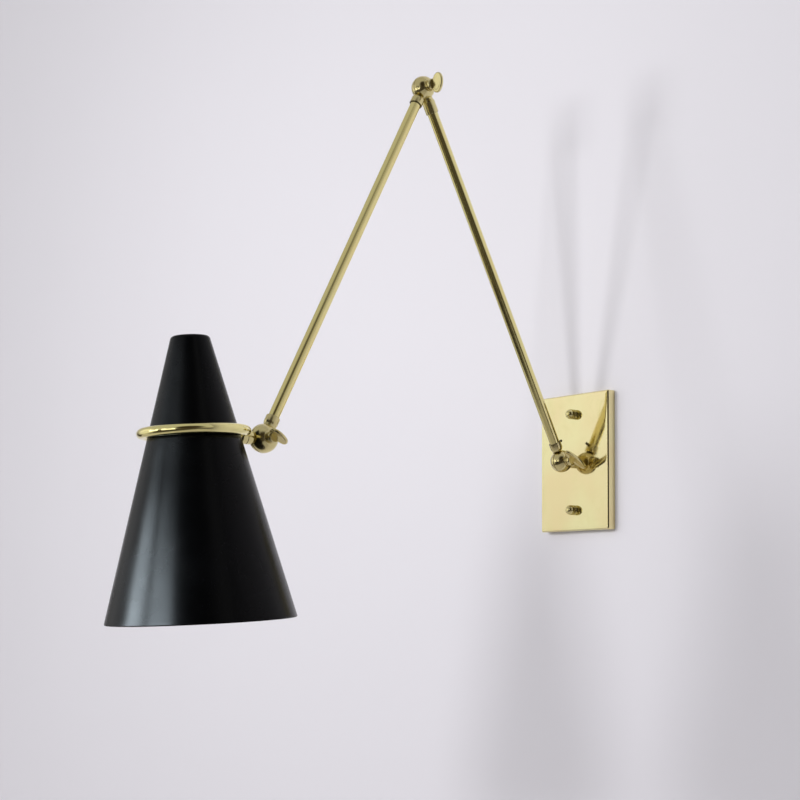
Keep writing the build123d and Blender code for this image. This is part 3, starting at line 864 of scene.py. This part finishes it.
def makeShade(values):
    low, high = -values["ringLevel"], values["height"] - values["ringLevel"]
    slope = (values["rimRadius"] - values["topRadius"]) / values["height"]
    tilt = math.sqrt(1 + slope**2)

    def onCone(level, inset=0):  # a point of the section, inset from the outer face
        return level, values["rimRadius"] - slope * (level - low) - inset * tilt

    bead, wall, rows, topRound, steps = pick(values, "bead wall rows topRound beadSteps")
    beadLevel, beadRadius = onCone(low + bead, bead)
    profile = softened([(high, 0), (*onCone(high), topRound), onCone(beadLevel + values["beadOuter"])], 8)
    bottom, reach = profile[-1][0], profile[-2][0] - profile[-1][0]
    levels = [bottom + reach * part / rows for part in range(rows - 1, 0, -1)]
    profile = profile[:-1] + [onCone(level) for level in levels] + profile[-1:]
    for step in range(steps + 1):  # the rolled rim
        turn = math.atan(slope) - math.pi * values["beadTurns"] * step / steps
        profile.append((beadLevel + bead * math.sin(turn), beadRadius + bead * math.cos(turn)))
    profile.append(onCone(beadLevel + values["beadInner"], wall))
    profile += [onCone(level, wall) for level in reversed(levels)]
    ceiling = high - wall
    inside = [onCone(ceiling - values["topRow"], wall), (*onCone(ceiling, wall), topRound - wall)]
    profile += softened(inside + [(ceiling, 0)], 6)
    mesh = turnedMesh("shade", ringCentre, axisUp, profile, values["steps"])
    piece = addPiece("shade_spun", mesh, blackPaint, "shade_head", "shade", values["sharpAngle"])
    mesh.materials.append(whitePaint)
    for face in mesh.polygons:  # white inside, above the bead
        spot = face.center - ringCentre
        level = spot.dot(axisUp)
        inwards = face.normal.dot((spot - axisUp * level).normalized()) < -0.1
        underTop = level > (high - 3) * mm and face.normal.dot(axisUp) < -0.1
        face.material_index = 1 if (inwards or underTop) and level > (beadLevel + bead) * mm else 0
    return piece


paintedShade = makeShade(shadeValues)
print("ring and shade made")

# plain hardware hidden behind the plate and inside the shade
dressValues = dict(weld=0.002, flatAngle=0.6, cornerAngle=50.0)


def dressedCopy(node, material, body, edge, values):
    bm = bmesh.new()
    bm.from_mesh(frame["nodes"][node].data)
    bmesh.ops.remove_doubles(bm, verts=bm.verts, dist=values["weld"] * mm)
    flat, corner = (math.radians(angle) for angle in pick(values, "flatAngle cornerAngle"))
    bmesh.ops.dissolve_limit(bm, angle_limit=flat, verts=bm.verts, edges=bm.edges)
    if edge:  # softened corners
        sharp = [line for line in bm.edges if line.is_manifold and line.calc_face_angle(0) > corner]
        bmesh.ops.bevel(bm, geom=sharp, offset=edge * mm, segments=2, profile=0.6, affect="EDGES")
    mesh = bpy.data.meshes.new(node)
    bm.to_mesh(mesh)
    bm.free()
    addPiece(node + "_dressed", mesh, material, body, node)


behindPlate = dict(mounting_bar=0.25, plate_studs=0.25, stem_washer=0.12, stem_lock_nut=0.3)
insideShade = dict(
    shade_nipple=0.2, shade_wedge_washer=0, nipple_nut=0.3, lampholder_bracket=0.25, lampholder_screw=0,
)
for material, body, softEdges in (  # how far each piece's corners are softened
    (zincSteel, "wall_mount", behindPlate),
    (zincSteel, "shade_head", insideShade),
    (brass, "shade_head", {"ring_saddle": 0}),
    (darkSteel, "shade_head", {"ring_grub_screw": 0}),
):
    for node, edge in softEdges.items():
        dressedCopy(node, material, body, edge, dressValues)
print("hidden hardware dressed")

# lampholder and bulb
holderValues = dict(
    bodyRadius=13.5, shoulderRadius=10.0, height=46.0, shoulder=8.0, hole=2.2, bore=9.0, boreDepth=25.0,
    ribs=5, ribStart=8.0, ribStep=3.0, ribDepth=0.5,
)
holderLow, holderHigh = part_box("lampholder")
holderTop = Vector((0, (holderLow.y + holderHigh.y) / 2, holderHigh.z))


def makeLampholder(values):
    height, body, neck, shoulder = pick(values, "height bodyRadius shoulderRadius shoulder")
    hole, bore, boreDepth, ribDepth = pick(values, "hole bore boreDepth ribDepth")
    floor, ribRadius = height - boreDepth, body - ribDepth
    corners = [(0, hole), (0, neck, 1.0), (shoulder, neck, 0.8)]
    corners += [(shoulder, body - 0.6, 1.4), (shoulder + 3, body, 0.4)]
    for rib in range(values["ribs"]):  # grip grooves round the body
        level = shoulder + values["ribStart"] + rib * values["ribStep"]
        corners += [(level, body), (level + 0.4, ribRadius), (level + 1.0, ribRadius), (level + 1.4, body)]
    corners += [(height, body, 0.9), (height, bore + 0.6, 0.5), (height - 2, bore)]
    corners += [(floor, bore), (floor, hole)]
    mesh = turnedMesh("lampholder", holderTop, down, softened(corners, 3), 72, closed=True)
    addPiece("lampholder_body", mesh, phenolic, "shade_head", "lampholder")


makeLampholder(holderValues)

threadPitch = 2.54
shellValues = dict(
    radius=8.2, floorRadius=7.3, floorLevel=1.4, flange=8.9, flangeThick=1.1, flangeFoot=1.3,
    threadStart=2.0, threadDepth=0.45, sheet=0.4,
)
capShellValues = dict(
    radius=6.9, threadDepth=0.55, threadStart=4.5,
    contact=((0, 0), (0, 2.6, 0.6), (1.2, 3.2), (2.0, 3.2), (2.6, 5.2, 0.6), (4.5, 6.4)),
)


def hungUnderHolder(node):  # middle of a piece's top, and its height
    low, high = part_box(node)
    return Vector((0, holderTop.y, high.z)), (high.z - low.z) / mm


def wavyProfile(first, last, outer, inner, pitch, stepsPerTurn=8):  # rolled thread seen in section
    count = int((last - first) / pitch * stepsPerTurn)
    middle, swing = (outer + inner) / 2, (outer - inner) / 2
    levels = [first + (last - first) * step / count for step in range(count + 1)]
    return [(level, middle + swing * math.cos(2 * math.pi * (level - first) / pitch)) for level in levels]


def makeShell(values):
    start, length = hungUnderHolder("lampholder_shell")
    radius, flange, floor = pick(values, "radius flange floorLevel")
    outer = wavyProfile(values["threadStart"], length, radius, radius - values["threadDepth"], threadPitch)
    inner = [(level, across - values["sheet"]) for level, across in reversed(outer)]
    profile = [(0, 0), (0, flange), (values["flangeThick"], flange), (values["flangeFoot"], radius)]
    profile += outer + inner + [(floor, values["floorRadius"]), (floor, 0)]
    mesh = turnedMesh("shell", start, down, profile, 64)
    addPiece("thread_shell", mesh, nickel, "shade_head", "lampholder_shell")


def makeBulbCap(values):
    start, length = hungUnderHolder("bulb_cap")
    radius, first, depth = pick(values, "radius threadStart threadDepth")
    thread = wavyProfile(first, length - 3, radius, radius - depth, threadPitch)
    profile = softened(values["contact"]) + thread
    profile += [(length - 2, radius - 0.1), (length, radius), (length, 0)]
    mesh = turnedMesh("bulbCap", start, down, profile, 64)
    addPiece("bulb_screw_cap", mesh, nickel, "shade_head", "bulb_cap")


globeValues = dict(
    radius=22.5, neckRadius=7.3,
    neckAngle=52.0,  # where the neck meets the globe, in degrees above its middle
    neckBend=(0.62, 0.3), neckSteps=10, globeSteps=30, steps=72,
)


def makeGlobe(values):
    start, length = hungUnderHolder("bulb_globe")
    radius, neckRadius, neckSteps, steps = pick(values, "radius neckRadius neckSteps globeSteps")
    centre, meet = length - radius, -math.radians(values["neckAngle"])
    arc = []
    for step in range(steps + 1):
        turn = meet + (math.pi / 2 - meet) * step / steps
        arc.append((centre + radius * math.sin(turn), radius * math.cos(turn)))
    endLevel, endRadius = arc[0]
    bendLevel, bendRadius = endLevel * values["neckBend"][0], neckRadius + values["neckBend"][1]
    neck = []
    for step in range(neckSteps):  # neck flowing into the globe
        t = step / neckSteps
        level = 2 * t * (1 - t) * bendLevel + t**2 * endLevel
        neck.append((level, (1 - t) ** 2 * neckRadius + 2 * t * (1 - t) * bendRadius + t**2 * endRadius))
    profile = [(0, 0)] + neck + arc[:-1] + [(length, 0)]
    mesh = turnedMesh("globe", start, down, profile, values["steps"])
    addPiece("opal_globe", mesh, opalGlass, "shade_head", "bulb_globe")


makeShell(shellValues)
makeBulbCap(capShellValues)
makeGlobe(globeValues)
print("lampholder and bulb made")

# the room: wall, floor and soft light
stageValues = dict(patchScale=1.6, patchBand=(0.3, 0.7), roughness=0.9, gloss=0.1)
roomValues = dict(
    wallColour=(0.80, 0.785, 0.84), wallDark=0.985,
    wallGap=0.0006,  # from the lamp's back to the wall's face
    wallTop=2.4,
    openingEdge=0.002,  # how far the plate covers the edge of the wall's opening
    floorColour=(0.72, 0.70, 0.70), floorDark=0.97, floorLevel=-1.15, floorDepth=1.5, halfWidth=3.0,
)
lightValues = dict(
    pairs=dict(left=(-0.50, 0.96, 0.85), right=(0.14, 0.97, 0.8)),  # across, shares of the powers
    windowOut=-1.35, windowLevel=0.28, windowSize=(0.24, 0.32), windowPower=5.2, sheenOut=-1.33,
    sheenLevel=0.05, sheenSize=(0.50, 0.42), sheenColour=(0.78, 0.91, 1.0), sheenPower=28.0,
    glintPower=1.3, fillPlace=(-2.2, -2.5, 0.9), fillTarget=(-1.4, 0, 0.5), fillSize=(3.0, 3.0),
    fillPower=30.0,
)
worldValues = dict(
    skyColour=(0.79, 0.78, 0.82),  # what the camera itself sees
    darkColour=(0.040, 0.030, 0.018), horizonBand=(-0.15, 0.25), below=0.03, above=0.5,
    leftWay=(-0.80, -0.60, 0.05), leftBand=(0.78, 0.97), leftGlow=0.98, lowBand=(0.02, 0.15),
    lowShare=0.86,  # of the left glow, near the horizon
    rightWay=(0.70, -0.62, 0.36), rightBand=(0.80, 0.96),
)


def makeStageMaterial(name, colour, dark, values):
    material, tree, shader = startFinish(name)
    clouds = noise(objectCoords(tree), values["patchScale"], 3.0)
    patches = ranged(clouds, *values["patchBand"])
    darker = tuple(part * dark for part in colour)
    inputs = {"Base Color": mixed(patches, colour, darker), "Roughness": values["roughness"]}
    solid = setInputs(shader, {**inputs, "Specular IOR Level": values["gloss"]})["BSDF"]
    clear = addNode(tree, "ShaderNodeBsdfTransparent", {})["BSDF"]
    away = addNode(tree, "ShaderNodeNewGeometry", {})["Backfacing"]
    seen = addNode(tree, "ShaderNodeMixShader", {0: away, 1: solid, 2: clear})["Shader"]
    setInputs(tree.nodes["Material Output"], {"Surface": seen})
    return material


def addSheetOfRoom(name, corners, faces, material):
    mesh = bpy.data.meshes.new(name)
    mesh.from_pydata(corners, [], faces)
    mesh.materials.append(material)
    addObject(name, mesh)


def makeRoom(values):
    wallPaint = makeStageMaterial("wallPaint", values["wallColour"], values["wallDark"], stageValues)
    floorPaint = makeStageMaterial("floorPaint", values["floorColour"], values["floorDark"], stageValues)
    back, floor, side, top = pick(values, "wallGap floorLevel halfWidth wallTop")
    front, edge = -values["floorDepth"], values["openingEdge"]
    (left, _, low), (right, _, high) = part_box("wall_plate")
    left, right, low, high = left + edge, right - edge, low + edge, high - edge
    outer = [(-side, back, floor), (side, back, floor), (side, back, top), (-side, back, top)]
    opening = [(left, back, low), (right, back, low), (right, back, high), (left, back, high)]
    around = [(place, (place + 1) % 4, (place + 1) % 4 + 4, place + 4) for place in range(4)]
    addSheetOfRoom("room_wall", outer + opening, around, wallPaint)  # open behind the plate
    ground = [(-side, back, floor), (-side, front, floor), (side, front, floor), (side, back, floor)]
    addSheetOfRoom("room_floor", ground, [(0, 1, 2, 3)], floorPaint)


def addPanel(name, place, target, size, power, diffuse=True, glossy=True):
    data = bpy.data.lights.new(name, "AREA")
    data.shape = "RECTANGLE"
    data.size, data.size_y = size
    data.energy = power
    panel = addObject(name, data)
    panel.location = place
    panel.rotation_euler = (Vector(target) - Vector(place)).to_track_quat("-Z", "Y").to_euler()
    panel.visible_camera = False
    panel.visible_diffuse = diffuse
    panel.visible_glossy = glossy
    return panel


def makeLights(values):
    shadeOnly = bpy.data.collections.new("shadeOnly")
    shadeOnly.objects.link(paintedShade)
    out, rise, size, level = pick(values, "windowOut windowLevel sheenSize sheenLevel")
    for name, (across, windowShare, sheenShare) in values["pairs"].items():
        power, place, target = values["windowPower"] * windowShare, (across, out, rise), (across, 0, rise)
        addPanel("window_" + name, place, target, values["windowSize"], power, glossy=False)
        power, place, target = values["glintPower"] * sheenShare, (across, out, level), (across, 0, level)
        addPanel("glint_" + name, place, target, size, power, diffuse=False)
        power, place = values["sheenPower"] * sheenShare, (across, values["sheenOut"], level)
        sheen = addPanel("sheen_" + name, place, target, size, power, diffuse=False)
        sheen.data.color = values["sheenColour"]
        sheen.light_linking.receiver_collection = shadeOnly
    addPanel("fill", *pick(values, "fillPlace fillTarget fillSize fillPower"), glossy=False)


def skyMask(way, middle, band, low, high):  # a soft patch of the sky round one direction
    dot = way.id_data.nodes.new("ShaderNodeVectorMath")
    dot.operation = "DOT_PRODUCT"
    return ranged(setInputs(dot, {0: way, 1: middle})["Value"], *band, low, high)


def makeWorld(values):
    world = bpy.data.worlds.new("softRoom")
    scene.world = world
    world.use_nodes = True
    tree = world.node_tree
    way = addNode(tree, "ShaderNodeTexCoord", {})["Generated"]
    rise = addNode(tree, "ShaderNodeSeparateXYZ", {"Vector": way})["Z"]
    height = ranged(rise, *values["horizonBand"], values["below"], values["above"])
    glow = skyMask(way, values["leftWay"], values["leftBand"], 0.0, values["leftGlow"])
    glow = times(glow, ranged(rise, *values["lowBand"], values["lowShare"], 1.0))
    dimmed = skyMask(way, values["rightWay"], values["rightBand"], 1.0, 0.0)
    bright = calc("MAXIMUM", times(height, dimmed), glow)
    room = mixed(bright, values["darkColour"], (1.0, 1.0, 1.0))
    byCamera = addNode(tree, "ShaderNodeLightPath", {})["Is Camera Ray"]
    setInputs(tree.nodes["Background"], {"Color": mixed(byCamera, room, values["skyColour"])})


makeRoom(roomValues)
makeLights(lightValues)
makeWorld(worldValues)
print("room and light made")
